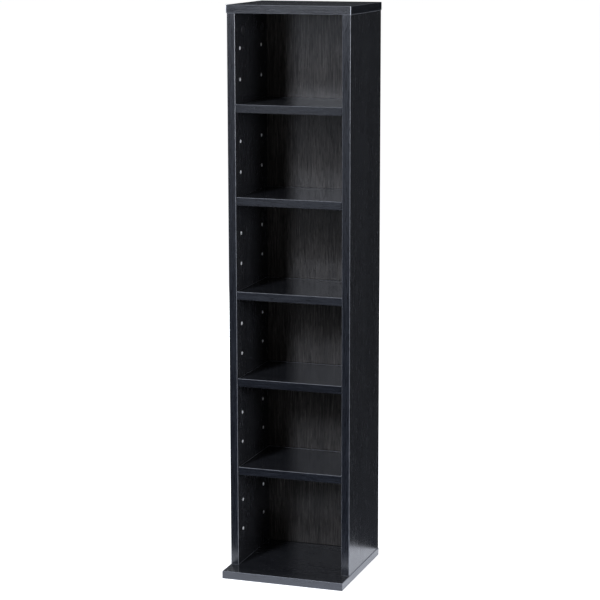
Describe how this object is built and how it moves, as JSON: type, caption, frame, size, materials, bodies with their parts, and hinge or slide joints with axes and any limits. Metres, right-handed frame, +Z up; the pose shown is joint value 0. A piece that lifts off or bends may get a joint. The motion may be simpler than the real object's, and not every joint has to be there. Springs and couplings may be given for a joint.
{
  "type": "cd dvd storage tower",
  "caption": "Tall narrow open-fronted storage tower in black woodgrain, with a forward-reaching base, a fixed middle shelf and shelves that lift off pins in a grid of holes.",
  "frame": {"origin": "the middle of the tower's bounding box, on the floor under the base", "axes": "+X to the tower's right seen from its open front, +Y to its back, +Z up"},
  "size_m": [0.25, 0.246, 1.128],
  "materials": {
    "board": "near-black woodgrain foil on particle board, satin, with banded front edges",
    "back": "near-black woodgrain paper on thin fibreboard, satin, vertical grain",
    "pin_metal": "plated, bright",
    "cam_metal": "cast zinc, dull",
    "screw_metal": "zinc plated",
    "cap_plastic": "black, satin",
    "dowel_wood": "plain beech, fluted"
  },
  "bodies": {
    "carcass": {"left_side_panel": "board", "right_side_panel": "board", "top_panel": "board", "base_panel": "board", "fixed_shelf": "board", "back_panel": "back", "shelf_1_pin_left_front": "pin_metal", "shelf_1_pin_left_rear": "pin_metal", "shelf_1_pin_right_front": "pin_metal", "shelf_1_pin_right_rear": "pin_metal", "shelf_2_pin_left_front": "pin_metal", "shelf_2_pin_left_rear": "pin_metal", "shelf_2_pin_right_front": "pin_metal", "shelf_2_pin_right_rear": "pin_metal", "shelf_3_pin_left_front": "pin_metal", "shelf_3_pin_left_rear": "pin_metal", "shelf_3_pin_right_front": "pin_metal", "shelf_3_pin_right_rear": "pin_metal", "shelf_4_pin_left_front": "pin_metal", "shelf_4_pin_left_rear": "pin_metal", "shelf_4_pin_right_front": "pin_metal", "shelf_4_pin_right_rear": "pin_metal", "fixed_shelf_bolt_left_front": "cam_metal", "fixed_shelf_cam_left_front": "cam_metal", "top_bolt_left_front": "cam_metal", "top_cam_left_front": "cam_metal", "top_cam_cap_left_front": "cap_plastic", "base_screw_left_front": "screw_metal", "base_dowel_left_front": "dowel_wood", "top_dowel_left_front": "dowel_wood", "fixed_shelf_bolt_left_rear": "cam_metal", "fixed_shelf_cam_left_rear": "cam_metal", "top_bolt_left_rear": "cam_metal", "top_cam_left_rear": "cam_metal", "top_cam_cap_left_rear": "cap_plastic", "base_screw_left_rear": "screw_metal", "base_dowel_left_rear": "dowel_wood", "top_dowel_left_rear": "dowel_wood", "fixed_shelf_bolt_right_front": "cam_metal", "fixed_shelf_cam_right_front": "cam_metal", "top_bolt_right_front": "cam_metal", "top_cam_right_front": "cam_metal", "top_cam_cap_right_front": "cap_plastic", "base_screw_right_front": "screw_metal", "base_dowel_right_front": "dowel_wood", "top_dowel_right_front": "dowel_wood", "fixed_shelf_bolt_right_rear": "cam_metal", "fixed_shelf_cam_right_rear": "cam_metal", "top_bolt_right_rear": "cam_metal", "top_cam_right_rear": "cam_metal", "top_cam_cap_right_rear": "cap_plastic", "base_screw_right_rear": "screw_metal", "base_dowel_right_rear": "dowel_wood", "top_dowel_right_rear": "dowel_wood"},
    "shelf_1": {"adjustable_shelf_1": "board"},
    "shelf_2": {"adjustable_shelf_2": "board"},
    "shelf_3": {"adjustable_shelf_3": "board"},
    "shelf_4": {"adjustable_shelf_4": "board"}
  },
  "joints": [
    {"name": "shelf_1_lift", "type": "slide", "parent": "carcass", "child": "shelf_1", "axis": [0, 0, 1], "range_m": [0, 0.12]},
    {"name": "shelf_2_lift", "type": "slide", "parent": "carcass", "child": "shelf_2", "axis": [0, 0, 1], "range_m": [0, 0.12]},
    {"name": "shelf_3_lift", "type": "slide", "parent": "carcass", "child": "shelf_3", "axis": [0, 0, 1], "range_m": [0, 0.12]},
    {"name": "shelf_4_lift", "type": "slide", "parent": "carcass", "child": "shelf_4", "axis": [0, 0, 1], "range_m": [0, 0.12]}
  ]
}
